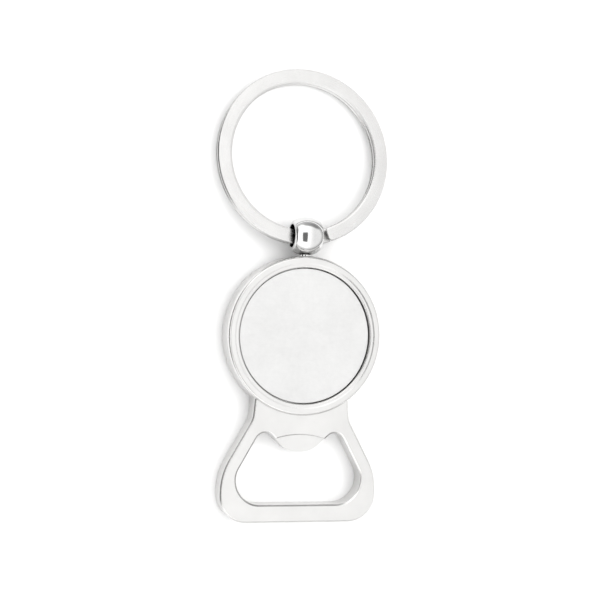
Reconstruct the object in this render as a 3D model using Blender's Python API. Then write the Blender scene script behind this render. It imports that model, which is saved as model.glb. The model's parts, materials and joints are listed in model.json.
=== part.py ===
"""Keychain bottle opener: a die-cast body with a round badge seat and a cap opener, and a split ring
that hangs in a ball swivel.

The frame is the body's own: the origin is the centre of the badge on the body's flat back, +X runs
across the body, +Y points from the opener end to the ring, and +Z out of the badge's face. The body
lies on its back. The swivel's ball is thicker than the body, so the ball and the tilted ring reach a
little below the back face, as they do when the whole keychain lies on a table.
"""

import math

import bmesh
import bpy
from mathutils import Matrix, Vector

MM = 0.001
GLUE_GAP = 0.3 * MM  # between the pieces that are stacked and glued in the badge seat

# Badge end of the body: a turned bezel around a shallow seat
BEZEL_RADIUS = 14.9 * MM
BEZEL_HEIGHT = 4.8 * MM
BEZEL_SHOULDER = 3.3 * MM  # height where the outer wall starts to round over
CREST_RADIUS = 13.8 * MM  # the ridge between the rounded outside and the inner bevel
LIP_HEIGHT = 4.25 * MM
LIP_WIDTH = 0.5 * MM
SEAT_FLOOR = 2.5 * MM
BACK_CHAMFER = 0.35 * MM

# What sits in the badge seat
DISC_RADIUS = 12.5 * MM  # a standard 25 mm insert
DISC_THICKNESS = 0.6 * MM
DISC_EDGE = 0.12 * MM
PAD_RADIUS = 9.5 * MM
PAD_THICKNESS = 0.4 * MM
SEAT_RADIUS = DISC_RADIUS + GLUE_GAP
PAD_BOTTOM = SEAT_FLOOR + GLUE_GAP
DISC_BOTTOM = PAD_BOTTOM + PAD_THICKNESS + GLUE_GAP

# Opener end of the body: a flat frame around the opening
PLATE_THICKNESS = 4.0 * MM
PLATE_EDGE = 0.35 * MM  # width of the softened edges
BODY_BOTTOM = -34.83 * MM
BODY_HALF_WIDTH = 15.15 * MM
NECK_HALF_WIDTH = 9.1 * MM
OPENING_BOTTOM = -31.52 * MM
OPENING_TOP = -18.15 * MM
OPENING_HALF_WIDTH = 12.15 * MM
TOOTH_TIP = -21.7 * MM
TOOTH_STEP = 0.8 * MM  # how far the tooth lies below the plate's face
STEP_RADIUS = 15.9 * MM
STEP_TOP = -18.5 * MM
STEP_HALF_WIDTH = 5.6 * MM

# Swivel: a ball with flat sides and an eye along X, on a shank along Y that is peened over inside the bezel
AXIS_Z = BEZEL_HEIGHT / 2
BALL_RADIUS = 3.65 * MM
BALL_GAP = 0.1 * MM  # between the ball and the bezel's wall
BALL_HALF_WIDTH = 2.75 * MM  # from the middle to the flat sides
BALL_SHOULDER = 0.8 * MM  # rounding between the crown and the flat sides
CROWN_ANGLE = math.radians(33)  # how far the crown turns to each side before the shoulder
AXIS_Y = BEZEL_RADIUS + BALL_GAP + BALL_RADIUS
EYE_RADIUS = 2.15 * MM
EYE_MOUTH_ROUNDING = 0.1 * MM
SHANK_RADIUS = 1.0 * MM
SHANK_CLEARANCE = 0.15 * MM
SHANK_ROOT = 2.6 * MM  # how far from the eye's axis the shank joins the ball
FLARE_RADIUS = 1.35 * MM
FLARE_LENGTH = 0.55 * MM
FLARE_EDGE = 0.1 * MM
POCKET_HALF_WIDTH = 1.9 * MM
POCKET_DEPTH_Y = 2.4 * MM
POCKET_FLOOR = 0.8 * MM

# Split ring: flat wire wound in two turns, with one ramp between the upper and the lower turn
RING_OUTER = 16.75 * MM
RING_INNER = 14.0 * MM
WIRE_THICKNESS = 0.93 * MM
TURN_GAP = 0.14 * MM
WIRE_EDGE = 0.28 * MM
RAMP_ANGLE = math.radians(20)
END_GAP_ANGLE = math.radians(0.8)
RING_TILT = math.radians(-5.2)  # the far side of the ring lies on the table
RING_TURN = math.radians(2.1)  # the ring has swung a little to one side in the eye
RING_SEAT_Y = -0.3 * MM  # where the wire rests in the eye, from the eye's axis
RING_SEAT_Z = -0.5 * MM
WIRE_END_ANGLE = math.radians(16)  # from the eye, on the +X side

TURNED_SEGMENTS = 96
SMALL_SEGMENTS = 48
ARC_STEPS = 8
MOUTH_STEPS = 3
WIRE_STEPS_PER_TURN = 80
WELD = 1e-6
PAST = 1.0 * MM  # how far a cutter runs past the face that it opens


def clear_scene():
    for old in list(bpy.data.objects):
        bpy.data.objects.remove(old, do_unlink=True)


def metal(name, colour, roughness, metallic=1.0):
    made = bpy.data.materials.new(name)
    made.use_nodes = True
    shader = made.node_tree.nodes["Principled BSDF"]
    shader.inputs["Base Color"].default_value = (*colour, 1.0)
    shader.inputs["Roughness"].default_value = roughness
    shader.inputs["Metallic"].default_value = metallic
    return made


def make_object(name, mesh, material=None, parent=None):
    """Turns a bmesh into a smooth-shaded object and frees the bmesh."""
    bmesh.ops.remove_doubles(mesh, verts=mesh.verts, dist=WELD)
    bmesh.ops.recalc_face_normals(mesh, faces=mesh.faces)
    data = bpy.data.meshes.new(name)
    mesh.to_mesh(data)
    mesh.free()
    data.shade_smooth()
    data.set_sharp_from_angle(angle=math.radians(35))
    made = bpy.data.objects.new(name, data)
    bpy.context.scene.collection.objects.link(made)
    if material:
        data.materials.append(material)
    if parent:
        made.parent = parent
    return made


def make_cutter(name, mesh):
    cutter = make_object(name, mesh)
    cutter.hide_render = True
    cutter.display_type = "WIRE"
    return cutter


def make_axis(name, location, parent=None):
    empty = bpy.data.objects.new(name, None)
    bpy.context.scene.collection.objects.link(empty)
    empty.location = location
    empty.parent = parent
    return empty


def boolean(target, other, operation):
    modifier = target.modifiers.new(other.name, "BOOLEAN")
    modifier.operation = operation
    modifier.object = other
    modifier.solver = "EXACT"


def arc(centre, radius, start, end, steps=ARC_STEPS):
    """Points on a circle from one angle to another, both ends included."""
    angles = [start + (end - start) * i / steps for i in range(steps + 1)]
    return [
        (centre[0] + radius * math.cos(a), centre[1] + radius * math.sin(a)) for a in angles
    ]


def filleted(corners):
    """An open outline through (x, y, fillet radius) corners; a radius of 0 keeps a corner as it is."""
    points = []
    last = len(corners) - 1
    for i, (x, y, radius) in enumerate(corners):
        here = Vector((x, y))
        if radius == 0 or i in (0, last):
            points.append((x, y))
            continue
        before = (Vector(corners[i - 1][:2]) - here).normalized()
        after = (Vector(corners[i + 1][:2]) - here).normalized()
        half = before.angle(after) / 2
        centre = here + (before + after).normalized() * (radius / math.sin(half))
        setback = radius / math.tan(half)
        first = here + before * setback - centre
        second = here + after * setback - centre
        start = math.atan2(first.y, first.x)
        sweep = first.angle_signed(second)
        points += arc(centre, radius, start, start - sweep)
    return points


def mirrored(half):
    """A closed outline from the half of it at +X, whose two ends lie on the axis or face each other."""
    return half + [(-x, y) for x, y in reversed(half) if abs(x) > WELD]


def loop_of(mesh, outline, height=0.0):
    vertices = [mesh.verts.new((x, y, height)) for x, y in outline]
    return [
        mesh.edges.new((vertices[i], vertices[(i + 1) % len(vertices)]))
        for i in range(len(vertices))
    ]


def prism(outlines, low, high):
    """A straight solid between two heights, from an outer outline and any holes in it."""
    mesh = bmesh.new()
    edges = [edge for outline in outlines for edge in loop_of(mesh, outline, low)]
    filled = bmesh.ops.triangle_fill(mesh, edges=edges, use_beauty=True)
    faces = [item for item in filled["geom"] if isinstance(item, bmesh.types.BMFace)]
    raised = bmesh.ops.extrude_face_region(mesh, geom=faces, use_keep_orig=True)
    top = [item for item in raised["geom"] if isinstance(item, bmesh.types.BMVert)]
    bmesh.ops.translate(mesh, verts=top, vec=(0, 0, high - low))
    return mesh


def turned(profile, segments, matrix=None):
    """A solid of revolution about Z from (radius, height) points that start and end on the axis."""
    mesh = bmesh.new()
    vertices = [mesh.verts.new((radius, 0, height)) for radius, height in profile]
    edges = [mesh.edges.new(pair) for pair in zip(vertices, vertices[1:])]
    bmesh.ops.spin(
        mesh,
        geom=vertices + edges,
        cent=(0, 0, 0),
        axis=(0, 0, 1),
        angle=math.tau,
        steps=segments,
        use_merge=True,
    )
    bmesh.ops.remove_doubles(mesh, verts=mesh.verts, dist=WELD)
    if matrix:
        bmesh.ops.transform(mesh, matrix=matrix, verts=mesh.verts)
    return mesh


def rod(radius, low, high, matrix, segments=SMALL_SEGMENTS):
    return turned([(0, low), (radius, low), (radius, high), (0, high)], segments, matrix)


ALONG_X = Matrix.Rotation(math.pi / 2, 4, "Y")
ALONG_Y = Matrix.Rotation(-math.pi / 2, 4, "X")


def bezel_mesh():
    """The badge end: flat back, rounded outside, a ridge, an inner bevel, a narrow lip and the seat."""
    lip_radius = SEAT_RADIUS + LIP_WIDTH
    shoulder = BEZEL_HEIGHT - BEZEL_SHOULDER
    outside = [
        (
            CREST_RADIUS + (BEZEL_RADIUS - CREST_RADIUS) * math.cos(a),
            BEZEL_SHOULDER + shoulder * math.sin(a),
        )
        for a in [math.pi / 2 * i / ARC_STEPS for i in range(ARC_STEPS + 1)]
    ]
    profile = [
        (0, 0),
        (BEZEL_RADIUS - BACK_CHAMFER, 0),
        (BEZEL_RADIUS, BACK_CHAMFER),
        *outside,
        (lip_radius, LIP_HEIGHT),
        (SEAT_RADIUS, LIP_HEIGHT - LIP_WIDTH / 4),
        (SEAT_RADIUS, SEAT_FLOOR),
        (0, SEAT_FLOOR),
    ]
    return turned(profile, TURNED_SEGMENTS)


def plate_outline():
    """The neck below the bezel, the flared sides, and the rounded bottom corners."""
    half = filleted(
        [
            (NECK_HALF_WIDTH, -9.0 * MM, 0),
            (NECK_HALF_WIDTH + 0.3 * MM, -15.67 * MM, 4.5 * MM),
            (BODY_HALF_WIDTH, -25.9 * MM, 12.0 * MM),
            (BODY_HALF_WIDTH, BODY_BOTTOM, 5.2 * MM),
            (0, BODY_BOTTOM, 0),
        ]
    )
    return mirrored(half)


def opening_outline():
    """A trapezoid with round corners, and the rounded tooth that reaches into it from the top."""
    half = filleted(
        [
            (0, TOOTH_TIP, 0),
            (2.22 * MM, TOOTH_TIP, 4.6 * MM),
            (5.97 * MM, OPENING_TOP, 1.8 * MM),
            (7.94 * MM, OPENING_TOP, 2.0 * MM),
            (OPENING_HALF_WIDTH, -25.74 * MM, 4.0 * MM),
            (OPENING_HALF_WIDTH, OPENING_BOTTOM, 4.7 * MM),
            (0, OPENING_BOTTOM, 0),
        ]
    )
    return mirrored(half)


def step_outline():
    """What is milled off the tooth: everything below a shallow arc, wide enough to clear its sides."""
    centre = (0, STEP_TOP - STEP_RADIUS)
    reach = math.asin(STEP_HALF_WIDTH / STEP_RADIUS)
    top = arc(centre, STEP_RADIUS, math.pi / 2 + reach, math.pi / 2 - reach, 2 * ARC_STEPS)
    below = TOOTH_TIP - PAST
    return [*top, (STEP_HALF_WIDTH, below), (-STEP_HALF_WIDTH, below)]


def pocket_outline():
    """The relief in the seat floor that leaves room to peen the shank, round at its inner end."""
    near = SEAT_RADIUS - POCKET_DEPTH_Y
    inner_end = arc((0, near), POCKET_HALF_WIDTH, math.pi, math.tau)
    outer_end = arc((0, 0), SEAT_RADIUS, math.radians(82), math.radians(98))
    return [*inner_end, *outer_end]


def build_opener_body(material):
    outlines = [plate_outline(), opening_outline()]
    plate = make_object("opener_body", prism(outlines, 0, PLATE_THICKNESS), material)
    edge = plate.modifiers.new("soft_edges", "BEVEL")
    edge.width = PLATE_EDGE
    edge.segments = 2
    edge.limit_method = "ANGLE"
    edge.angle_limit = math.radians(50)

    bezel = make_cutter("bezel_blank", bezel_mesh())
    boolean(plate, bezel, "UNION")

    # The plate runs under the bezel, so the seat is cleared again through it.
    seat = make_cutter(
        "seat_cutter",
        rod(SEAT_RADIUS, SEAT_FLOOR, BEZEL_HEIGHT + PAST, Matrix(), TURNED_SEGMENTS),
    )
    boolean(plate, seat, "DIFFERENCE")

    step = make_cutter(
        "step_cutter",
        prism([step_outline()], PLATE_THICKNESS - TOOTH_STEP, PLATE_THICKNESS + PAST),
    )
    boolean(plate, step, "DIFFERENCE")

    pocket = make_cutter(
        "pocket_cutter", prism([pocket_outline()], POCKET_FLOOR, SEAT_FLOOR + PAST)
    )
    boolean(plate, pocket, "DIFFERENCE")

    bore_radius = SHANK_RADIUS + SHANK_CLEARANCE
    sink_radius = FLARE_RADIUS + SHANK_CLEARANCE
    sink_end = SEAT_RADIUS + FLARE_LENGTH + SHANK_CLEARANCE
    bore_profile = [
        (0, SEAT_RADIUS - PAST),
        (sink_radius, SEAT_RADIUS - PAST),
        (sink_radius, SEAT_RADIUS + SHANK_CLEARANCE),
        (bore_radius, sink_end),
        (bore_radius, BEZEL_RADIUS + PAST),
        (0, BEZEL_RADIUS + PAST),
    ]
    bore_place = Matrix.Translation((0, 0, AXIS_Z)) @ ALONG_Y
    bore = make_cutter("shank_bore_cutter", turned(bore_profile, SMALL_SEGMENTS, bore_place))
    boolean(plate, bore, "DIFFERENCE")
    return plate


def build_insert_disc(material):
    top = DISC_BOTTOM + DISC_THICKNESS
    profile = [
        (0, DISC_BOTTOM),
        (DISC_RADIUS - DISC_EDGE, DISC_BOTTOM),
        (DISC_RADIUS, DISC_BOTTOM + DISC_EDGE),
        (DISC_RADIUS, top - DISC_EDGE),
        (DISC_RADIUS - DISC_EDGE, top),
        (0, top),
    ]
    return make_object("insert_disc", turned(profile, TURNED_SEGMENTS), material)


def build_adhesive_pad(material):
    pad = rod(PAD_RADIUS, PAD_BOTTOM, PAD_BOTTOM + PAD_THICKNESS, Matrix(), SMALL_SEGMENTS)
    return make_object("adhesive_pad", pad, material)


def ball_profile():
    """Half of the ball's outline, about the eye's axis: a crown, rounded shoulders and two flat sides."""
    shoulder_x = BALL_HALF_WIDTH - BALL_SHOULDER
    crown_radius = BALL_SHOULDER + shoulder_x / math.sin(CROWN_ANGLE)
    crown_centre = BALL_RADIUS - crown_radius
    shoulder_r = crown_centre + (crown_radius - BALL_SHOULDER) * math.cos(CROWN_ANGLE)
    lower = arc((shoulder_r, -shoulder_x), BALL_SHOULDER, -math.pi / 2, -CROWN_ANGLE)
    crown = arc((crown_centre, 0), crown_radius, -CROWN_ANGLE, CROWN_ANGLE)
    upper = arc((shoulder_r, shoulder_x), BALL_SHOULDER, CROWN_ANGLE, math.pi / 2)
    return [(0, -BALL_HALF_WIDTH), *lower, *crown[1:-1], *upper, (0, BALL_HALF_WIDTH)]


def eye_profile():
    """The eye's cutter: a straight bore whose two mouths round out to the ball's flat sides."""
    mouth = EYE_RADIUS + EYE_MOUTH_ROUNDING
    start = BALL_HALF_WIDTH - EYE_MOUTH_ROUNDING
    far = BALL_HALF_WIDTH + PAST
    near_end = arc((mouth, -start), EYE_MOUTH_ROUNDING, 1.5 * math.pi, math.pi, MOUTH_STEPS)
    far_end = arc((mouth, start), EYE_MOUTH_ROUNDING, math.pi, math.pi / 2, MOUTH_STEPS)
    return [(0, -far), (mouth, -far), *near_end, *far_end, (mouth, far), (0, far)]


def build_swivel_post(material, swivel_axis):
    """Made about the joint's axis, so its own origin is where the eye's axis meets the shank's."""
    ball = turned(ball_profile(), SMALL_SEGMENTS, ALONG_X)
    post = make_object("swivel_post", ball, material, swivel_axis)
    inside_end = SEAT_RADIUS - AXIS_Y + SHANK_CLEARANCE
    flare_end = inside_end + FLARE_LENGTH
    shank_profile = [
        (0, inside_end),
        (FLARE_RADIUS - FLARE_EDGE, inside_end),
        (FLARE_RADIUS, inside_end + FLARE_EDGE),
        (SHANK_RADIUS, flare_end),
        (SHANK_RADIUS, -SHANK_ROOT),
        (0, -SHANK_ROOT),
    ]
    shank = make_cutter("shank_blank", turned(shank_profile, SMALL_SEGMENTS, ALONG_Y))
    shank.parent = swivel_axis
    boolean(post, shank, "UNION")
    eye = make_cutter("eye_cutter", turned(eye_profile(), SMALL_SEGMENTS, ALONG_X))
    eye.parent = swivel_axis
    boolean(post, eye, "DIFFERENCE")
    return post


def wire_section():
    """The flat wire's cross-section as (radius, height) points about its middle."""
    half_width = (RING_OUTER - RING_INNER) / 2
    half_height = WIRE_THICKNESS / 2
    inner_x = half_width - WIRE_EDGE
    inner_z = half_height - WIRE_EDGE
    quarters = []
    for i, (sx, sz) in enumerate([(1, 1), (-1, 1), (-1, -1), (1, -1)]):
        start = i * math.pi / 2
        quarters += arc((sx * inner_x, sz * inner_z), WIRE_EDGE, start, start + math.pi / 2, 1)
    return quarters


def wire_height(turned_by):
    """Height of the wire's middle after an angle: the upper turn, the ramp, then the lower turn."""
    level = (WIRE_THICKNESS + TURN_GAP) / 2
    ramp_start = math.tau - RAMP_ANGLE
    along = min(max((turned_by - ramp_start) / RAMP_ANGLE, 0.0), 1.0)
    smooth = along * along * (3 - 2 * along)
    return level * (1 - 2 * smooth)


def build_split_ring(material, ring_pivot):
    """The wire's section carried round twice, in the ring's own plane, about its own centre."""
    middle = (RING_OUTER + RING_INNER) / 2
    length = 2 * math.tau - RAMP_ANGLE - END_GAP_ANGLE
    steps = round(length / math.tau * WIRE_STEPS_PER_TURN)
    section = wire_section()
    mesh = bmesh.new()
    rings = []
    for i in range(steps + 1):
        turned_by = length * i / steps
        angle = WIRE_END_ANGLE - math.pi / 2 + turned_by
        height = wire_height(turned_by)
        ring = []
        for offset, rise in section:
            radius = middle + offset
            place = (radius * math.cos(angle), middle + radius * math.sin(angle), height + rise)
            ring.append(mesh.verts.new(place))
        rings.append(ring)
    count = len(section)
    for low, high in zip(rings, rings[1:]):
        for j in range(count):
            after = (j + 1) % count
            mesh.faces.new((low[j], low[after], high[after], high[j]))
    mesh.faces.new(rings[0])
    mesh.faces.new(rings[-1])
    ring = make_object("split_ring", mesh, material, ring_pivot)
    ring.location = (0, RING_SEAT_Y, RING_SEAT_Z)
    lean = Matrix.Rotation(RING_TILT, 3, "X") @ Matrix.Rotation(RING_TURN, 3, "Z")
    ring.rotation_euler = lean.to_euler()
    return ring


def main():
    clear_scene()
    nickel = metal("satin_nickel", (0.78, 0.77, 0.75), 0.32)
    badge = metal("brushed_steel_badge", (0.80, 0.80, 0.79), 0.40)
    chrome = metal("polished_chrome", (0.85, 0.85, 0.85), 0.06)
    ring_steel = metal("nickel_plated_wire", (0.80, 0.79, 0.77), 0.25)
    adhesive = metal("adhesive_film", (0.86, 0.85, 0.80), 0.60, 0.0)

    build_opener_body(nickel)
    build_insert_disc(badge)
    build_adhesive_pad(adhesive)
    swivel_axis = make_axis("swivel_axis", (0, AXIS_Y, AXIS_Z))
    build_swivel_post(chrome, swivel_axis)
    ring_pivot = make_axis("ring_pivot", (0, 0, 0), swivel_axis)
    build_split_ring(ring_steel, ring_pivot)


main()
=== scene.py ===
"""Looks of the keychain bottle opener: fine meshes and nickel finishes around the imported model.

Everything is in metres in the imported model's own frame: +X across the body, +Y from the opener end to
the ring, +Z out of the badge's face. The keychain lies on its back on a pale table.
"""

import json
import math

import bmesh
import bpy
from mathutils import Euler, Matrix, Vector


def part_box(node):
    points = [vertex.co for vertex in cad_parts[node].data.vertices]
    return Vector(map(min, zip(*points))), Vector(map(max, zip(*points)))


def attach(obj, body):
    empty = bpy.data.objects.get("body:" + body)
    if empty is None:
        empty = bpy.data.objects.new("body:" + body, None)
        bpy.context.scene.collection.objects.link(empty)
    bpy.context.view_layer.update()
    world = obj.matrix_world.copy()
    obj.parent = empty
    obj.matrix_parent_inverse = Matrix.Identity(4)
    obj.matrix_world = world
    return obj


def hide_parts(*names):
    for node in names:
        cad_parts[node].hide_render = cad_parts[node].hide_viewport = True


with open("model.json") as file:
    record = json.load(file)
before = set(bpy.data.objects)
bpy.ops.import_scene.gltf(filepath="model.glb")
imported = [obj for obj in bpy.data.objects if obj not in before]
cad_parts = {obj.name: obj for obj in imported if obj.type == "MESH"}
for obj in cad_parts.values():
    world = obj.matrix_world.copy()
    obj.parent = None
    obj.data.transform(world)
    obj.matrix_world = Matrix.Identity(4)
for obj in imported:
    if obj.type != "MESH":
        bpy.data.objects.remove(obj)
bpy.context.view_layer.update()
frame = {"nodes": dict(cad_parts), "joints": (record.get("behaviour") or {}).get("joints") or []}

MM = 0.001

# ---------------------------------------------------------------- driving sizes

body_low, body_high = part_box("opener_body")
disc_low, disc_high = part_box("insert_disc")
post_low, post_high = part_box("swivel_post")
swivel_centre = Vector(next(j["pos_m"] for j in frame["joints"] if j["name"] == "ball_swivel"))

# Badge end of the body, from the outer wall over a flat crest and a level lip down into the seat
BEZEL_RADIUS = body_high.y
BEZEL_HEIGHT = body_high.z
BEZEL_SHOULDER = 3.9 * MM  # height where the outer wall starts to round over
CREST_RADIUS = 13.6 * MM  # inner edge of the crest
CREST_FLAT = 0.7 * MM
CREST_ROUNDING = 0.06 * MM
LIP_HEIGHT = 4.7 * MM
LIP_WIDTH = 0.62 * MM
LIP_FOOT_ROUNDING = 0.06 * MM
LIP_ROUNDING = 0.26 * MM
DISC_GROWTH = 0.08 * MM  # over the solid disc, which keeps a wider gap to its seat
DISC_EDGE = 0.12 * MM
DISC_RADIUS = disc_high.x + DISC_GROWTH
SEAT_GAP = 0.15 * MM
SEAT_RADIUS = DISC_RADIUS + SEAT_GAP
SEAT_FLOOR = 2.5 * MM
BACK_EDGE = 0.35 * MM

# Opener end of the body
PLATE_THICKNESS = 4.0 * MM
PLATE_BACK = 0.01 * MM  # height of the plate's back above the bezel's, so that they don't coincide
PLATE_EDGE_WIDTH = 0.33 * MM  # across the flat face; the depth is down the wall
PLATE_EDGE_DEPTH = 0.26 * MM
PLATE_EDGE_ROUNDING = 0.12 * MM
BODY_BOTTOM = body_low.y
BODY_HALF_WIDTH = body_high.x
NECK_HALF_WIDTH = 9.1 * MM
NECK_FILLET = 0.7 * MM  # between the neck and the bezel
NECK_BEND = (NECK_HALF_WIDTH + 0.3 * MM, -15.67 * MM, 4.5 * MM)  # x, y and radius, also below
SIDE_BEND = (BODY_HALF_WIDTH, -25.9 * MM, 12.0 * MM)
BOTTOM_CORNER_RADIUS = 5.2 * MM
OPENING_BOTTOM = -31.52 * MM
OPENING_TOP = -18.15 * MM
OPENING_HALF_WIDTH = 12.15 * MM
OPENING_UPPER_CORNER = (7.94 * MM, OPENING_TOP, 2.0 * MM)
OPENING_SIDE_BEND = (OPENING_HALF_WIDTH, -25.74 * MM, 4.0 * MM)
OPENING_LOWER_CORNER = (OPENING_HALF_WIDTH, OPENING_BOTTOM, 4.7 * MM)
TOOTH_TIP = -21.7 * MM
TOOTH_CORNER = (2.22 * MM, TOOTH_TIP, 4.6 * MM)
TOOTH_ROOT = (5.97 * MM, OPENING_TOP, 1.8 * MM)
TOOTH_STEP = 0.8 * MM  # how far the tooth lies below the plate's face
STEP_EDGE_WIDTH = 0.24 * MM
STEP_EDGE_DEPTH = 0.19 * MM
STEP_EDGE_ROUNDING = 0.08 * MM
STEP_RADIUS = 15.9 * MM
STEP_TOP = -18.5 * MM
STEP_HALF_WIDTH = 5.6 * MM

# Swivel: a ball with flat sides and an eye along X, and its shank along Y, peened over in the pocket
BALL_RADIUS = post_high.z - swivel_centre.z
BALL_HALF_WIDTH = post_high.x  # from the middle to the flat sides
BALL_SHOULDER = 0.8 * MM  # rounding between the crown and the flat sides
CROWN_ANGLE = math.radians(33)  # how far the crown turns to each side before the shoulder
EYE_RADIUS = 2.15 * MM
EYE_MOUTH_ROUNDING = 0.1 * MM
SHANK_RADIUS = 1.0 * MM
SHANK_CLEARANCE = 0.15 * MM
SHANK_ROOT = 2.6 * MM  # how far from the eye's axis the shank joins the ball
FLARE_RADIUS = 1.35 * MM
FLARE_LENGTH = 0.55 * MM
FLARE_EDGE = 0.1 * MM
POCKET_HALF_WIDTH = 1.9 * MM
POCKET_DEPTH_Y = 2.4 * MM
POCKET_FLOOR = 0.8 * MM
POCKET_REACH = math.radians(8)  # to each side of the shank, as seen from the disc's centre

# Split ring: flat wire wound in two turns, with one ramp between the upper and the lower turn
RING_OUTER = 16.75 * MM
RING_INNER = 14.0 * MM
WIRE_THICKNESS = 0.93 * MM
TURN_GAP = 0.14 * MM
WIRE_EDGE = 0.19 * MM  # broken edges; the inner ones slope more gently, over a wider rim
WIRE_EDGE_ROUNDING = 0.07 * MM
INNER_RIM_WIDTH = 0.45 * MM
INNER_RIM_DROP = 0.06 * MM
INNER_RIM_EDGE = 0.14 * MM
WIRE_END_ROUNDING = 0.8 * MM  # the wire's ends, seen from above
RAMP_ANGLE = math.radians(20)
END_GAP_ANGLE = math.radians(0.8)
RING_TILT = math.radians(-5.2)  # the far side of the ring lies on the table
RING_TURN = math.radians(2.1)  # the ring has swung a little to one side in the eye
RING_SEAT = Vector((0, -0.3 * MM, -0.5 * MM))  # where the wire rests, from the eye's axis
WIRE_END_ANGLE = math.radians(16)  # from the eye, on the +X side
EYE_SHADE_FROM = BALL_HALF_WIDTH + 0.1 * MM  # from the eye's middle: plain colour, then painted shade inside the eye
EYE_SHADE_TO = BALL_HALF_WIDTH - 0.15 * MM

# Smoothness
LATHE_SEGMENTS = 256
SMALL_SEGMENTS = 96
ARC_STEPS = 20
RIM_STEPS = 6
BROKEN_EDGE_STEPS = 5
EYE_MOUTH_STEPS = 8
WIRE_EDGE_STEPS = 4
WIRE_END_STEPS = 8
WIRE_STEPS_PER_TURN = 300
WELD = 1e-6  # points this close are one
LEVEL = 0.99999  # the upward share of a normal that counts as flat
PAST = 1.0 * MM  # how far a cutter reaches past what it cuts

ALONG_X = Matrix.Rotation(math.pi / 2, 4, "Y")
ALONG_Y = Matrix.Rotation(-math.pi / 2, 4, "X")

# Colours; the near-black one is painted shade, on the ball's eye bore and on the ring's wire inside the
# eye
PAINTED_EYE_SHADE = (0.06, 0.06, 0.062)
SOFTBOX_COLOUR = (1.0, 0.997, 0.99)
TENT_COLOUR = (1.0, 0.998, 0.995, 1.0)

# Light tent: brightness overhead and at the horizon, and the height where it is fully bright
WORLD_TOP = 1.45
WORLD_HORIZON = 0.5
WORLD_TOP_HEIGHT = 0.4
# Its dark parts: a direction, the shares of it between which the dark sets in, the heights between
# which it ends (and starts, for the far one), and how much light it takes away
DARK_SIDE = (-0.996, 0.087, 0)
DARK_SIDE_EDGE = (0.62, 0.85)
DARK_SIDE_TOP = (0.46, 0.62)
DARK_SIDE_DEPTH = 0.97
FAR_GAP = (0.342, 0.94, 0)
FAR_GAP_EDGE = (0.72, 0.88)
FAR_GAP_FOOT = (0.1, 0.22)
FAR_GAP_TOP = (0.42, 0.56)
FAR_GAP_DEPTH = 0.66
# Between these two shares of +X, the tent goes from the first brightness factor to the second
TENT_FADE = (-0.05, 0.6, 1.22, 0.8)
# The opening overhead that the camera looks through: slopes of its centre, half sizes, softness
TENT_OPENING = (-0.265, -0.18, 0.245, 0.57, 0.2)
OPENING_DEPTH = 0.88

# Softboxes: place, size in metres, watts
SOFTBOXES = {
    "key_softbox": ((0.42, 0.16, 0.62), 0.5, 1.5),
    "overhead_softbox": ((-0.05, 0.0, 0.9), 0.9, 1.0),
}

# Table and camera
TABLE_HALF_SIZE = 2.0
TABLE_DROP = 0.02 * MM  # clearance below the pieces that lie on it
CAMERA_PLACE = (-72.84 * MM, 5.28 * MM, 234.83 * MM)
CAMERA_ANGLES = (-0.482, -17.235, 2.231)  # degrees about X, Y and Z
CAMERA_LENS = 77.86  # focal length in mm
CAMERA_SHIFT = (0.0004, 0.0055)


# ---------------------------------------------------------------- outlines and solids


def arc(centre, radius, start, end, steps=ARC_STEPS):
    """Points on a circle from one angle to another, both ends included."""
    angles = [start + (end - start) * i / steps for i in range(steps + 1)]
    return [
        (centre[0] + radius * math.cos(a), centre[1] + radius * math.sin(a)) for a in angles
    ]


def filleted(corners, steps=ARC_STEPS):
    """An open outline through (x, y, fillet radius) corners; a radius of 0 keeps a corner as it is."""
    points = []
    last = len(corners) - 1
    for i, (x, y, radius) in enumerate(corners):
        here = Vector((x, y))
        if radius == 0 or i in (0, last):
            points.append((x, y))
            continue
        before = (Vector(corners[i - 1][:2]) - here).normalized()
        after = (Vector(corners[i + 1][:2]) - here).normalized()
        half = before.angle(after) / 2
        centre = here + (before + after).normalized() * (radius / math.sin(half))
        setback = radius / math.tan(half)
        first = here + before * setback - centre
        second = here + after * setback - centre
        start = math.atan2(first.y, first.x)
        sweep = first.angle_signed(second)
        points += arc(centre, radius, start, start - sweep, steps)
    return points


def mirrored(half):
    """A closed outline from the half of it at +X."""
    return half + [(-x, y) for x, y in reversed(half) if abs(x) > WELD]


def loop_of(mesh, outline, height):
    """The outline's edges, drawn at one height."""
    vertices = [mesh.verts.new((x, y, height)) for x, y in outline]
    return [
        mesh.edges.new((vertices[i], vertices[(i + 1) % len(vertices)]))
        for i in range(len(vertices))
    ]


def prism(outline, low, high):
    """A straight solid between two heights."""
    mesh = bmesh.new()
    filled = bmesh.ops.triangle_fill(mesh, edges=loop_of(mesh, outline, low), use_beauty=True)
    faces = [item for item in filled["geom"] if isinstance(item, bmesh.types.BMFace)]
    raised = bmesh.ops.extrude_face_region(mesh, geom=faces, use_keep_orig=True)
    top = [item for item in raised["geom"] if isinstance(item, bmesh.types.BMVert)]
    bmesh.ops.translate(mesh, verts=top, vec=(0, 0, high - low))
    return mesh


def inset(outline, distance, outward):
    """The outline moved sideways: away from its inside when outward, else towards it."""
    count = len(outline)
    area = sum(
        outline[i][0] * outline[(i + 1) % count][1] - outline[(i + 1) % count][0] * outline[i][1]
        for i in range(count)
    )
    side = 1 if (area > 0) == outward else -1
    moved = []
    for i, here in enumerate(outline):
        before = (Vector(here) - Vector(outline[i - 1])).normalized()
        after = (Vector(outline[(i + 1) % count]) - Vector(here)).normalized()
        along = (before + after).normalized()
        normal = Vector((along.y, -along.x)) * side
        moved.append(Vector(here) + normal * distance)
    return moved


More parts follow.
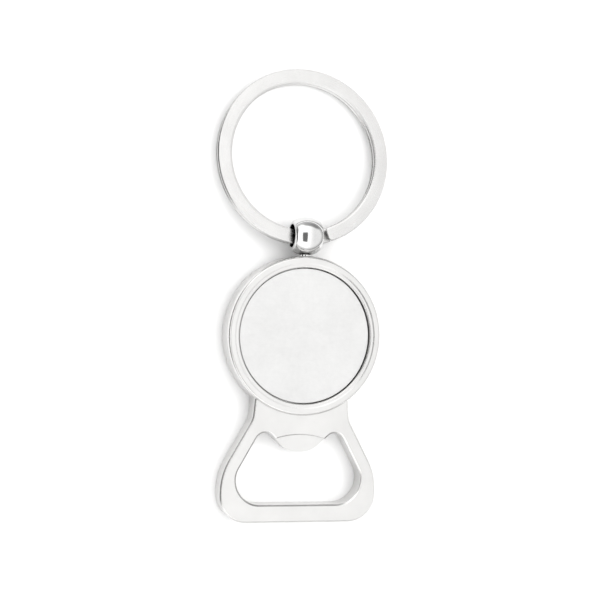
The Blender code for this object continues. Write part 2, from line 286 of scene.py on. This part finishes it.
def lofted(mesh, outline, rows, outward):
    """Walls through (sideways shift, height) rows; returns the first and the last loop of edges."""
    loops = [
        [mesh.verts.new((*point, z)) for point in inset(outline, shift, outward)]
        for shift, z in rows
    ]
    count = len(outline)
    for below, above in zip(loops, loops[1:]):
        for i in range(count):
            after = (i + 1) % count
            mesh.faces.new((below[i], below[after], above[after], above[i]))
    ends = (loops[0], loops[-1])
    return [
        [mesh.edges.get((loop[i], loop[(i + 1) % count])) for i in range(count)] for loop in ends
    ]


def broken_edge(width, depth, rounding):
    """(distance in from the wall, depth below the flat face) points, from the face to the wall."""
    corners = [(2 * width, 0, 0), (width, 0, rounding), (0, depth, rounding), (0, 2 * depth, 0)]
    return filleted(corners, BROKEN_EDGE_STEPS)[1:-1]


def rounded_slab(outer, hole, low, high, edge):
    """A flat slab with a hole, whose four rims are broken and softened."""
    mesh = bmesh.new()
    rows = [(in_by, low + depth) for in_by, depth in edge]
    rows += [(in_by, high - depth) for in_by, depth in reversed(edge)]
    walls = [lofted(mesh, outer, rows, False), lofted(mesh, hole, rows, True)]
    for rims in zip(*walls):
        bmesh.ops.triangle_fill(mesh, edges=rims[0] + rims[1], use_beauty=True)
    return mesh


def flared_cutter(outline, low, high, edge):
    """A cutter that opens out at the top, so that it leaves a soft rim at the height high."""
    mesh = bmesh.new()
    rows = [(0, low)] + [(out_by, high - depth) for out_by, depth in reversed(edge)]
    rows.append((rows[-1][0], high + PAST))
    for loop in lofted(mesh, outline, rows, True):
        bmesh.ops.triangle_fill(mesh, edges=loop, use_beauty=True)
    return mesh


def turned(profile, segments, matrix=None, closed=False):
    """A solid of revolution about Z from (radius, height) points."""
    mesh = bmesh.new()
    vertices = [mesh.verts.new((radius, 0, height)) for radius, height in profile]
    pairs = list(zip(vertices, vertices[1:]))
    if closed:
        pairs.append((vertices[-1], vertices[0]))
    edges = [mesh.edges.new(pair) for pair in pairs]
    bmesh.ops.spin(
        mesh,
        geom=vertices + edges,
        cent=(0, 0, 0),
        axis=(0, 0, 1),
        angle=math.tau,
        steps=segments,
        use_merge=True,
    )
    bmesh.ops.remove_doubles(mesh, verts=mesh.verts, dist=WELD)
    if matrix:
        bmesh.ops.transform(mesh, matrix=matrix, verts=mesh.verts)
    return mesh


def make_object(name, mesh):
    """Turns a bmesh into a smooth-shaded object and frees the bmesh."""
    bmesh.ops.remove_doubles(mesh, verts=mesh.verts, dist=WELD)
    bmesh.ops.recalc_face_normals(mesh, faces=mesh.faces)
    data = bpy.data.meshes.new(name)
    mesh.to_mesh(data)
    mesh.free()
    data.shade_smooth()
    made = bpy.data.objects.new(name, data)
    bpy.context.scene.collection.objects.link(made)
    return made


def boolean(target, other, operation):
    modifier = target.modifiers.new(other.name, "BOOLEAN")
    modifier.operation = operation
    modifier.object = other
    modifier.solver = "EXACT"


def apply_modifiers(piece, cutters=()):
    """Keeps the evaluated mesh, and removes the objects that only shaped it."""
    graph = bpy.context.evaluated_depsgraph_get()
    final = bpy.data.meshes.new_from_object(piece.evaluated_get(graph))
    piece.modifiers.clear()
    piece.data = final
    for cutter in cutters:
        bpy.data.objects.remove(cutter, do_unlink=True)


def sharpen_level_rims(mesh):
    """Keeps wide flat faces shaded flat right up to the roundings that meet them."""
    beside = {}
    for face in mesh.polygons:
        for key in face.edge_keys:
            beside.setdefault(key, set()).add(abs(face.normal.z) > LEVEL)
    for edge in mesh.edges:
        if len(beside.get(edge.key, ())) > 1:
            edge.use_edge_sharp = True


def finish_surface(piece, body, material, sharp_angle):
    """Shading, material and the body it rides on."""
    piece.data.materials.clear()
    piece.data.materials.append(material)
    piece.data.shade_smooth()
    piece.data.set_sharp_from_angle(angle=math.radians(sharp_angle))
    sharpen_level_rims(piece.data)
    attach(piece, body)
    return piece


# ---------------------------------------------------------------- the body


def bezel_mesh():
    """The badge end: back, outer wall, crest, inner bevel, lip and the seat's wall and floor."""
    lip_radius = SEAT_RADIUS + LIP_WIDTH
    round_centre = CREST_RADIUS + CREST_FLAT
    shoulder = BEZEL_HEIGHT - BEZEL_SHOULDER
    outside = [
        (
            round_centre + (BEZEL_RADIUS - round_centre) * math.cos(a),
            BEZEL_SHOULDER + shoulder * math.sin(a),
        )
        for a in [math.pi / 2 * i / ARC_STEPS for i in range(ARC_STEPS + 1)]
    ]
    inside = filleted(
        [
            (round_centre, BEZEL_HEIGHT, 0),
            (CREST_RADIUS, BEZEL_HEIGHT, CREST_ROUNDING),
            (lip_radius, LIP_HEIGHT, LIP_FOOT_ROUNDING),
            (SEAT_RADIUS, LIP_HEIGHT, LIP_ROUNDING),
            (SEAT_RADIUS, SEAT_FLOOR, 0),
        ],
        RIM_STEPS,
    )
    back = filleted(
        [(0, 0, 0), (BEZEL_RADIUS, 0, BACK_EDGE), (BEZEL_RADIUS, BEZEL_SHOULDER, 0)],
        RIM_STEPS,
    )
    profile = [*back[:-1], *outside, *inside[1:], (0, SEAT_FLOOR)]
    return turned(profile, LATHE_SEGMENTS)


def plate_outline():
    """Root inside the bezel's wall, a small fillet outside it, neck, flared sides and corners."""
    fillet_x = NECK_HALF_WIDTH + NECK_FILLET
    fillet_y = -math.sqrt((BEZEL_RADIUS + NECK_FILLET) ** 2 - fillet_x**2)
    toward_bezel = math.atan2(-fillet_y, -fillet_x)
    flare = arc((fillet_x, fillet_y), NECK_FILLET, toward_bezel, math.pi)
    root_angle = math.atan2(flare[0][1], flare[0][0])
    root_radius = (SEAT_RADIUS + BEZEL_RADIUS) / 2
    root = arc((0, 0), root_radius, -math.pi / 2, root_angle, 2 * ARC_STEPS)
    sides = filleted(
        [
            (*flare[-1], 0),
            NECK_BEND,
            SIDE_BEND,
            (BODY_HALF_WIDTH, BODY_BOTTOM, BOTTOM_CORNER_RADIUS),
            (0, BODY_BOTTOM, 0),
        ]
    )
    return mirrored([*root, *flare, *sides[1:]])


def opening_outline():
    """A trapezoid with round corners, and the rounded tooth that reaches into it from the top."""
    half = filleted(
        [
            (0, TOOTH_TIP, 0),
            TOOTH_CORNER,
            TOOTH_ROOT,
            OPENING_UPPER_CORNER,
            OPENING_SIDE_BEND,
            OPENING_LOWER_CORNER,
            (0, OPENING_BOTTOM, 0),
        ]
    )
    return mirrored(half)


def step_outline():
    """What is milled off the tooth: everything below a shallow arc, wide enough to clear its sides."""
    centre = (0, STEP_TOP - STEP_RADIUS)
    reach = math.asin(STEP_HALF_WIDTH / STEP_RADIUS)
    top = arc(centre, STEP_RADIUS, math.pi / 2 + reach, math.pi / 2 - reach, 2 * ARC_STEPS)
    below = TOOTH_TIP - PAST
    return [*top, (STEP_HALF_WIDTH, below), (-STEP_HALF_WIDTH, below)]


def pocket_outline():
    """The relief in the seat's floor that leaves room to peen the shank, round at its inner end."""
    near = SEAT_RADIUS - POCKET_DEPTH_Y
    inner_end = arc((0, near), POCKET_HALF_WIDTH, math.pi, math.tau)
    upright = math.pi / 2
    outer_end = arc((0, 0), disc_high.x, upright - POCKET_REACH, upright + POCKET_REACH)
    return [*inner_end, *outer_end]


def build_body(material):
    """One casting: the plate joined to the bezel, less the tooth's step, the pocket and the bore."""
    edge = broken_edge(PLATE_EDGE_WIDTH, PLATE_EDGE_DEPTH, PLATE_EDGE_ROUNDING)
    slab = rounded_slab(plate_outline(), opening_outline(), PLATE_BACK, PLATE_THICKNESS, edge)
    piece = make_object("body_casting", slab)
    cutters = []

    def shaped_by(name, mesh, operation):
        cutter = make_object(name, mesh)
        cutters.append(cutter)
        boolean(piece, cutter, operation)

    shaped_by("bezel", bezel_mesh(), "UNION")
    step_floor = PLATE_THICKNESS - TOOTH_STEP
    step_edge = broken_edge(STEP_EDGE_WIDTH, STEP_EDGE_DEPTH, STEP_EDGE_ROUNDING)
    step = flared_cutter(step_outline(), step_floor, PLATE_THICKNESS, step_edge)
    shaped_by("step", step, "DIFFERENCE")
    shaped_by("pocket", prism(pocket_outline(), POCKET_FLOOR, SEAT_FLOOR + PAST), "DIFFERENCE")
    bore_radius = SHANK_RADIUS + SHANK_CLEARANCE
    sink_radius = FLARE_RADIUS + SHANK_CLEARANCE
    bore_profile = [
        (0, SEAT_RADIUS - PAST),
        (sink_radius, SEAT_RADIUS - PAST),
        (sink_radius, SEAT_RADIUS + SHANK_CLEARANCE),
        (bore_radius, SEAT_RADIUS + FLARE_LENGTH + SHANK_CLEARANCE),
        (bore_radius, BEZEL_RADIUS + PAST),
        (0, BEZEL_RADIUS + PAST),
    ]
    bore_place = Matrix.Translation((0, 0, swivel_centre.z)) @ ALONG_Y
    shaped_by("bore", turned(bore_profile, SMALL_SEGMENTS, bore_place), "DIFFERENCE")
    apply_modifiers(piece, cutters)
    finish_surface(piece, "opener", material, sharp_angle=28)
    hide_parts("opener_body")
    return piece


# ---------------------------------------------------------------- the other pieces


def build_disc(material):
    profile = filleted(
        [
            (0, disc_low.z, 0),
            (DISC_RADIUS, disc_low.z, DISC_EDGE),
            (DISC_RADIUS, disc_high.z, DISC_EDGE),
            (0, disc_high.z, 0),
        ],
        RIM_STEPS,
    )
    piece = make_object("badge_disc", turned(profile, LATHE_SEGMENTS))
    finish_surface(piece, "opener", material, sharp_angle=60)
    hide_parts("insert_disc")
    return piece


def build_post(material):
    """The ball and its eye are one turned shape about X; the shank joins it on the -Y side."""
    shoulder_x = BALL_HALF_WIDTH - BALL_SHOULDER
    crown_radius = BALL_SHOULDER + shoulder_x / math.sin(CROWN_ANGLE)
    crown_centre = BALL_RADIUS - crown_radius
    shoulder_r = crown_centre + (crown_radius - BALL_SHOULDER) * math.cos(CROWN_ANGLE)
    right_angle = math.pi / 2
    lower = arc((shoulder_r, -shoulder_x), BALL_SHOULDER, -right_angle, -CROWN_ANGLE)
    crown = arc((crown_centre, 0), crown_radius, -CROWN_ANGLE, CROWN_ANGLE, 2 * ARC_STEPS)
    upper = arc((shoulder_r, shoulder_x), BALL_SHOULDER, CROWN_ANGLE, right_angle)
    mouth = EYE_RADIUS + EYE_MOUTH_ROUNDING
    start = BALL_HALF_WIDTH - EYE_MOUTH_ROUNDING
    near_turn = (math.pi, 1.5 * math.pi, EYE_MOUTH_STEPS)
    far_turn = (right_angle, math.pi, EYE_MOUTH_STEPS)
    near_mouth = arc((mouth, -start), EYE_MOUTH_ROUNDING, *near_turn)
    far_mouth = arc((mouth, start), EYE_MOUTH_ROUNDING, *far_turn)
    profile = [*near_mouth, *lower, *crown[1:-1], *upper, *far_mouth]
    place = Matrix.Translation(swivel_centre)
    ball = turned(profile, LATHE_SEGMENTS, place @ ALONG_X, closed=True)
    piece = make_object("swivel_ball", ball)
    inside_end = SEAT_RADIUS - swivel_centre.y + SHANK_CLEARANCE
    flare_end = inside_end + FLARE_LENGTH
    shank_profile = filleted(
        [
            (0, inside_end, 0),
            (FLARE_RADIUS, inside_end, FLARE_EDGE),
            (SHANK_RADIUS, flare_end, 0),
            (SHANK_RADIUS, -SHANK_ROOT, 0),
            (0, -SHANK_ROOT, 0),
        ],
        RIM_STEPS,
    )
    shank = make_object("shank", turned(shank_profile, SMALL_SEGMENTS, place @ ALONG_Y))
    boolean(piece, shank, "UNION")
    apply_modifiers(piece, [shank])
    finish_surface(piece, "swivel", material, sharp_angle=40)
    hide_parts("swivel_post")
    return piece


def wire_section():
    """Points round the wire, outer side first: its inner edges are worn wider than its outer ones."""
    half_width = (RING_OUTER - RING_INNER) / 2
    half_height = WIRE_THICKNESS / 2
    outer = filleted(
        [
            (half_width, 0, 0),
            (half_width, half_height - WIRE_EDGE, WIRE_EDGE_ROUNDING),
            (half_width - WIRE_EDGE, half_height, WIRE_EDGE_ROUNDING),
            (0, half_height, 0),
        ],
        WIRE_EDGE_STEPS,
    )[1:-1]
    inner = filleted(
        [
            (0, half_height, 0),
            (INNER_RIM_WIDTH - half_width, half_height, WIRE_EDGE_ROUNDING),
            (INNER_RIM_EDGE - half_width, half_height - INNER_RIM_DROP, WIRE_EDGE_ROUNDING),
            (-half_width, half_height - INNER_RIM_DROP - INNER_RIM_EDGE, WIRE_EDGE_ROUNDING),
            (-half_width, 0, 0),
        ],
        WIRE_EDGE_STEPS,
    )[1:-1]
    top = outer + inner
    return top + [(x, -z) for x, z in reversed(top)]


def wire_narrowing(from_end):
    """How much of its half width the wire has left near an end, whose corners are ground round."""
    half_width = (RING_OUTER - RING_INNER) / 2
    if from_end >= WIRE_END_ROUNDING:
        return 1.0
    left = WIRE_END_ROUNDING - from_end
    return 1 - (WIRE_END_ROUNDING - math.sqrt(WIRE_END_ROUNDING**2 - left**2)) / half_width


def wire_height(turned_by):
    """Height of the wire's middle after an angle: the upper turn, the ramp, then the lower turn."""
    level = (WIRE_THICKNESS + TURN_GAP) / 2
    along = min(max((turned_by - math.tau + RAMP_ANGLE) / RAMP_ANGLE, 0.0), 1.0)
    smooth = along * along * (3 - 2 * along)
    return level * (1 - 2 * smooth)


def build_ring(material):
    """The wire's section carried round twice, in the ring's own plane, then leaned into the eye."""
    middle = (RING_OUTER + RING_INNER) / 2
    length = 2 * math.tau - RAMP_ANGLE - END_GAP_ANGLE
    steps = round(length / math.tau * WIRE_STEPS_PER_TURN)
    end_angle = WIRE_END_ROUNDING / middle
    quarter = [math.pi / 2 * i / WIRE_END_STEPS for i in range(WIRE_END_STEPS)]
    near_start = [end_angle * (1 - math.cos(a)) for a in quarter]
    along_wire = near_start + [
        end_angle + (length - 2 * end_angle) * i / steps for i in range(steps + 1)
    ]
    along_wire += [length - angle for angle in reversed(near_start)]
    section = wire_section()
    count = len(section)
    mesh = bmesh.new()
    along_layer = mesh.loops.layers.uv.new("along_wire")
    rings = []
    for turned_by in along_wire:
        angle = WIRE_END_ANGLE - math.pi / 2 + turned_by
        height = wire_height(turned_by)
        narrowing = wire_narrowing(min(turned_by, length - turned_by) * middle)
        ring = []
        for offset, rise in section:
            radius = middle + offset * narrowing
            place = (radius * math.cos(angle), middle + radius * math.sin(angle), height + rise)
            ring.append(mesh.verts.new(place))
        rings.append(ring)
    for i, (low, high) in enumerate(zip(rings, rings[1:])):
        for j in range(count):
            after = (j + 1) % count
            face = mesh.faces.new((low[j], low[after], high[after], high[j]))
            for loop, (u, v) in zip(face.loops, [(i, j), (i, j + 1), (i + 1, j + 1), (i + 1, j)]):
                loop[along_layer].uv = (u / WIRE_STEPS_PER_TURN, v / count)
    mesh.faces.new(rings[0])
    mesh.faces.new(rings[-1])
    lean = Matrix.Rotation(RING_TILT, 4, "X") @ Matrix.Rotation(RING_TURN, 4, "Z")
    place = Matrix.Translation(swivel_centre + RING_SEAT) @ lean
    bmesh.ops.transform(mesh, matrix=place, verts=mesh.verts)
    piece = make_object("key_ring", mesh)
    finish_surface(piece, "ring", material, sharp_angle=40)
    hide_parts("split_ring")
    return piece


# ---------------------------------------------------------------- materials


class Nodes:
    """Short helpers around one material's node tree."""

    def __init__(self, name):
        self.material = bpy.data.materials.new(name)
        self.material.use_nodes = True
        self.tree = self.material.node_tree
        self.shader = self.tree.nodes["Principled BSDF"]

    def add(self, kind, **settings):
        node = self.tree.nodes.new(kind)
        for key, value in settings.items():
            setattr(node, key, value)
        return node

    def link(self, source, target):
        self.tree.links.new(source, target)

    def coordinates(self, output="Object", scale=(1, 1, 1), rotation=(0, 0, 0)):
        place = self.add("ShaderNodeTexCoord")
        mapping = self.add("ShaderNodeMapping")
        mapping.inputs["Scale"].default_value = scale
        mapping.inputs["Rotation"].default_value = rotation
        self.link(place.outputs[output], mapping.inputs["Vector"])
        return mapping.outputs["Vector"]

    def noise(self, vector, scale, detail=4.0, roughness=0.55):
        node = self.add("ShaderNodeTexNoise")
        node.inputs["Scale"].default_value = scale
        node.inputs["Detail"].default_value = detail
        node.inputs["Roughness"].default_value = roughness
        self.link(vector, node.inputs["Vector"])
        return node.outputs["Fac"]

    def spread(self, value, low, high, from_low=0.3, from_high=0.7):
        node = self.add("ShaderNodeMapRange")
        node.inputs["From Min"].default_value = from_low
        node.inputs["From Max"].default_value = from_high
        node.inputs["To Min"].default_value = low
        node.inputs["To Max"].default_value = high
        self.link(value, node.inputs["Value"])
        return node.outputs["Result"]

    def math(self, operation, first, second):
        node = self.add("ShaderNodeMath", operation=operation)
        for socket, value in zip(node.inputs, (first, second)):
            if isinstance(value, (int, float)):
                socket.default_value = value
            else:
                self.link(value, socket)
        return node.outputs["Value"]

    def tones(self, value, dark, light):
        node = self.add("ShaderNodeValToRGB")
        node.color_ramp.elements[0].color = (*dark, 1)
        node.color_ramp.elements[1].color = (*light, 1)
        self.link(value, node.inputs["Fac"])
        return node.outputs["Color"]

    def mixed(self, factor, first, second):
        """The first colour, turning into the plain second one where the factor is white."""
        node = self.add("ShaderNodeMix", data_type="RGBA")
        self.link(factor, node.inputs["Factor"])
        self.link(first, node.inputs[6])
        node.inputs[7].default_value = (*second, 1)
        return node.outputs[2]

    def bump(self, heights):
        """Chains (height, distance, strength) layers of bump into the shader's normal."""
        last = None
        for height, distance, strength in heights:
            node = self.add("ShaderNodeBump")
            node.inputs["Distance"].default_value = distance
            node.inputs["Strength"].default_value = strength
            self.link(height, node.inputs["Height"])
            if last:
                self.link(last, node.inputs["Normal"])
            last = node.outputs["Normal"]
        self.link(last, self.shader.inputs["Normal"])

    def scratches(self, vector, scale, rotation, stretch=60.0):
        """Thin straight marks, all in one direction: a noise that is stretched along it and cut high."""
        mapping = self.add("ShaderNodeMapping")
        mapping.inputs["Rotation"].default_value = rotation
        mapping.inputs["Scale"].default_value = (scale, scale / stretch, scale)
        self.link(vector, mapping.inputs["Vector"])
        fine = self.noise(mapping.outputs["Vector"], 1.0, 2.0)
        return self.spread(fine, 0.0, 1.0, 0.62, 0.74)


def rounding_mask(nodes):
    """White on the roundings between the casting's flat faces and its upright walls."""
    place = nodes.add("ShaderNodeTexCoord")
    parts = nodes.add("ShaderNodeSeparateXYZ")
    nodes.link(place.outputs["Normal"], parts.inputs["Vector"])
    up = nodes.math("ABSOLUTE", parts.outputs["Z"], 0.0)
    leaving_flat = nodes.spread(up, 1.0, 0.0, 0.86, 0.97)
    leaving_wall = nodes.spread(up, 0.0, 1.0, 0.1, 0.35)
    return nodes.math("MULTIPLY", leaving_flat, leaving_wall)


def satin_nickel():
    """The cast body: fine grain, faint scratches, and roundings burnished by handling."""
    n = Nodes("satin_nickel_finish")
    place = n.coordinates()
    cloud = n.noise(place, scale=180, detail=3.0)
    grain = n.noise(place, scale=9000, detail=5.0, roughness=0.65)
    ripple = n.noise(place, scale=900, detail=3.0)
    wear = rounding_mask(n)
    tone = n.math("ADD", n.spread(cloud, 0.15, 0.75), n.math("MULTIPLY", wear, 0.25))
    n.link(n.tones(tone, (0.625, 0.622, 0.615), (0.695, 0.692, 0.685)), n.shader.inputs["Base Color"])
    rough = n.math("ADD", n.spread(ripple, 0.28, 0.34), n.math("MULTIPLY", wear, -0.08))
    marks = n.scratches(place, scale=5000, rotation=(0, 0, math.radians(37)))
    n.link(n.math("ADD", rough, n.math("MULTIPLY", marks, 0.02)), n.shader.inputs["Roughness"])
    n.shader.inputs["Metallic"].default_value = 1.0
    n.bump([(grain, 0.002 * MM, 0.3), (ripple, 0.006 * MM, 0.2), (marks, 0.001 * MM, -0.1)])
    return n.material


def badge_metal():
    """The disc: finely brushed, with a faint mottle."""
    n = Nodes("badge_metal_finish")
    place = n.coordinates()
    cloud = n.noise(place, scale=150, detail=4.0, roughness=0.6)
    brushed = n.noise(n.coordinates(scale=(600, 9000, 600), rotation=(0, 0, 0.9)), 1.0, 3.0)
    mottle = n.noise(place, scale=1300, detail=5.0, roughness=0.6)
    tone = n.math("ADD", n.spread(cloud, 0.1, 0.6), n.spread(mottle, 0.0, 0.3))
    n.link(n.tones(tone, (0.645, 0.645, 0.642), (0.74, 0.74, 0.736)), n.shader.inputs["Base Color"])
    n.link(n.spread(brushed, 0.34, 0.46), n.shader.inputs["Roughness"])
    n.shader.inputs["Metallic"].default_value = 1.0
    n.bump([(brushed, 0.002 * MM, 0.35), (mottle, 0.006 * MM, 0.3)])
    return n.material


def near_swivel(nodes, axes, inner, outer):
    """White within a distance of the swivel's centre, measured along the axes that are 1."""
    place = nodes.add("ShaderNodeTexCoord")
    offset = nodes.add("ShaderNodeVectorMath", operation="SUBTRACT")
    nodes.link(place.outputs["Object"], offset.inputs[0])
    offset.inputs[1].default_value = swivel_centre
    kept = nodes.add("ShaderNodeVectorMath", operation="MULTIPLY")
    nodes.link(offset.outputs["Vector"], kept.inputs[0])
    kept.inputs[1].default_value = axes
    reach = nodes.add("ShaderNodeVectorMath", operation="LENGTH")
    nodes.link(kept.outputs["Vector"], reach.inputs[0])
    return nodes.spread(reach.outputs["Value"], 1.0, 0.0, inner, outer)


def polished_chrome():
    """The ball: nearly a mirror, with smudges, hairlines and painted shade in its eye."""
    n = Nodes("polished_chrome_finish")
    place = n.coordinates()
    smudge = n.noise(place, scale=700, detail=4.0, roughness=0.6)
    ripple = n.noise(place, scale=420, detail=2.0)
    tone = n.tones(n.spread(smudge, 0.2, 0.9), (0.64, 0.64, 0.64), (0.70, 0.70, 0.695))
    mouth = EYE_RADIUS + EYE_MOUTH_ROUNDING / 2
    # Painted shade: the eye's bore is coloured near-black, where it lies in shade
    eye_shade_mask = near_swivel(n, (0, 1, 1), EYE_RADIUS, mouth)
    n.link(n.mixed(eye_shade_mask, tone, PAINTED_EYE_SHADE), n.shader.inputs["Base Color"])
    hair = n.scratches(place, scale=7000, rotation=(0.4, 0.3, 0.8), stretch=40.0)
    rough = n.math("ADD", n.spread(smudge, 0.05, 0.11), n.math("MULTIPLY", hair, 0.08))
    n.link(rough, n.shader.inputs["Roughness"])
    n.shader.inputs["Metallic"].default_value = 1.0
    n.bump([(ripple, 0.02 * MM, 0.25), (hair, 0.001 * MM, -0.4)])
    return n.material


def ring_nickel():
    """The split ring: lines drawn along the wire, and painted shade where it passes through the eye."""
    n = Nodes("ring_nickel_finish")
    place = n.coordinates()
    drawn = n.noise(n.coordinates("UV", scale=(14, 90, 1)), 1.0, 4.0, 0.6)
    cloud = n.noise(place, scale=260, detail=3.0)
    grain = n.noise(place, scale=7000, detail=4.0, roughness=0.6)
    tone = n.math("ADD", n.spread(cloud, 0.1, 0.6), n.spread(drawn, 0.0, 0.3))
    plated = n.tones(tone, (0.59, 0.587, 0.582), (0.66, 0.657, 0.652))
    # Painted shade: the wire is coloured near-black inside the eye, where it lies in shade
    ring_eye_shade_mask = near_swivel(n, (1, 1, 1), EYE_SHADE_TO, EYE_SHADE_FROM)
    n.link(n.mixed(ring_eye_shade_mask, plated, PAINTED_EYE_SHADE), n.shader.inputs["Base Color"])
    n.link(n.spread(drawn, 0.2, 0.32), n.shader.inputs["Roughness"])
    n.shader.inputs["Metallic"].default_value = 1.0
    n.bump([(drawn, 0.004 * MM, 0.3), (grain, 0.003 * MM, 0.3)])
    return n.material


def adhesive_film():
    """The film under the disc: blotchy and pale."""
    n = Nodes("adhesive_film_finish")
    place = n.coordinates()
    blotch = n.noise(place, scale=400, detail=4.0)
    tone = n.spread(blotch, 0.1, 0.9)
    n.link(n.tones(tone, (0.78, 0.76, 0.68), (0.88, 0.87, 0.82)), n.shader.inputs["Base Color"])
    n.link(n.spread(blotch, 0.5, 0.7), n.shader.inputs["Roughness"])
    n.bump([(blotch, 0.03 * MM, 0.3)])
    return n.material


# ---------------------------------------------------------------- stage, light and camera


def build_table():
    """The plane that the body's opener end and the ball rest on."""
    ball_bottom = Vector((0, swivel_centre.y, post_low.z))
    back_edge = Vector((0, BODY_BOTTOM, body_low.z))
    slope = math.atan2(ball_bottom.z - back_edge.z, ball_bottom.y - back_edge.y)
    half = TABLE_HALF_SIZE
    mesh = bmesh.new()
    corners = [(-half, -half, 0), (half, -half, 0), (half, half, 0), (-half, half, 0)]
    mesh.faces.new([mesh.verts.new(c) for c in corners])
    table = make_object("table", mesh)
    table.location = back_edge + Vector((0, 0, -TABLE_DROP))
    table.rotation_euler = (slope, 0, 0)
    n = Nodes("table_finish")
    speckle = n.noise(n.coordinates(), scale=60, detail=3.0)
    n.link(n.tones(speckle, (0.95, 0.95, 0.95), (0.97, 0.97, 0.97)), n.shader.inputs["Base Color"])
    n.shader.inputs["Roughness"].default_value = 0.9
    n.shader.inputs["Specular IOR Level"].default_value = 0.1
    table.data.materials.append(n.material)


def build_world():
    """A bright light tent: white above, dimmer towards the horizon, with three dark parts."""
    world = bpy.data.worlds.new("light_tent")
    bpy.context.scene.world = world
    world.use_nodes = True
    tree = world.node_tree
    tree.nodes.clear()
    out = tree.nodes.new("ShaderNodeOutputWorld")
    background = tree.nodes.new("ShaderNodeBackground")
    tree.links.new(background.outputs[0], out.inputs[0])
    place = tree.nodes.new("ShaderNodeTexCoord")

    def wire(value, socket):
        if isinstance(value, (int, float)):
            socket.default_value = value
        else:
            tree.links.new(value, socket)

    def maths(operation, first, second=0.0):
        node = tree.nodes.new("ShaderNodeMath")
        node.operation = operation
        wire(first, node.inputs[0])
        wire(second, node.inputs[1])
        return node.outputs[0]

    def along(direction):
        node = tree.nodes.new("ShaderNodeVectorMath")
        node.operation = "DOT_PRODUCT"
        tree.links.new(place.outputs["Generated"], node.inputs[0])
        node.inputs[1].default_value = direction
        return node.outputs["Value"]

    def smooth(value, low, high, to_low, to_high):
        node = tree.nodes.new("ShaderNodeMapRange")
        node.interpolation_type = "SMOOTHSTEP"
        wire(value, node.inputs["Value"])
        for name, number in zip(
            ("From Min", "From Max", "To Min", "To Max"), (low, high, to_low, to_high)
        ):
            node.inputs[name].default_value = number
        return node.outputs["Result"]

    def opening(centre_x, centre_y, half_x, half_y, soft):
        """1 inside a soft rectangle overhead, 0 outside; slopes of X and Y against Z."""
        upward = along((0, 0, 1))
        offsets = []
        for axis, centre, half in (((1, 0, 0), centre_x, half_x), ((0, 1, 0), centre_y, half_y)):
            slope = maths("DIVIDE", along(axis), upward)
            off = maths("ABSOLUTE", maths("SUBTRACT", slope, centre))
            offsets.append(smooth(off, half * (1 - soft), half * (1 + soft), 1, 0))
        return maths("MULTIPLY", maths("MULTIPLY", *offsets), smooth(upward, 0.0, 0.2, 0, 1))

    def darkened(light, mask, depth):
        return maths("MULTIPLY", light, maths("SUBTRACT", 1.0, maths("MULTIPLY", mask, depth)))

    height = along((0, 0, 1))
    level = smooth(height, 0.0, WORLD_TOP_HEIGHT, WORLD_HORIZON, WORLD_TOP)
    side = smooth(along(DARK_SIDE), *DARK_SIDE_EDGE, 0, 1)
    below = smooth(height, *DARK_SIDE_TOP, 1, 0)
    level = darkened(level, maths("MULTIPLY", side, below), DARK_SIDE_DEPTH)
    far = smooth(along(FAR_GAP), *FAR_GAP_EDGE, 0, 1)
    band = maths("MULTIPLY", smooth(height, *FAR_GAP_FOOT, 0, 1), smooth(height, *FAR_GAP_TOP, 1, 0))
    level = darkened(level, maths("MULTIPLY", far, band), FAR_GAP_DEPTH)
    level = maths("MULTIPLY", level, smooth(along((1, 0, 0)), *TENT_FADE))
    level = darkened(level, opening(*TENT_OPENING), OPENING_DEPTH)
    tree.links.new(level, background.inputs["Strength"])
    background.inputs["Color"].default_value = TENT_COLOUR


def softbox(name, place, size, power):
    """A square softbox aimed at the object; it lights the table but isn't mirrored in the nickel."""
    light = bpy.data.lights.new(name, "AREA")
    light.shape = "SQUARE"
    light.size = size
    light.energy = power
    light.color = SOFTBOX_COLOUR
    made = bpy.data.objects.new(name, light)
    bpy.context.scene.collection.objects.link(made)
    made.location = place
    made.rotation_euler = Vector(place).to_track_quat("Z", "Y").to_euler()
    made.visible_glossy = False


def build_camera():
    data = bpy.data.cameras.new("camera")
    data.sensor_width = 36.0
    data.lens = CAMERA_LENS
    data.shift_x, data.shift_y = CAMERA_SHIFT
    data.clip_start = 0.01
    data.clip_end = 10.0
    camera = bpy.data.objects.new("camera", data)
    bpy.context.scene.collection.objects.link(camera)
    camera.location = CAMERA_PLACE
    camera.rotation_euler = Euler([math.radians(a) for a in CAMERA_ANGLES], "XYZ")
    bpy.context.scene.camera = camera


nickel = satin_nickel()
build_body(nickel)
build_disc(badge_metal())
build_post(polished_chrome())
build_ring(ring_nickel())
pad = frame["nodes"]["adhesive_pad"]
pad.data.materials.clear()
pad.data.materials.append(adhesive_film())

build_table()
build_world()
for softbox_name, (place, size, power) in SOFTBOXES.items():
    softbox(softbox_name, place, size, power)
build_camera()
view_settings = bpy.context.scene.view_settings
view_settings.view_transform = "Standard"
view_settings.look = "None"
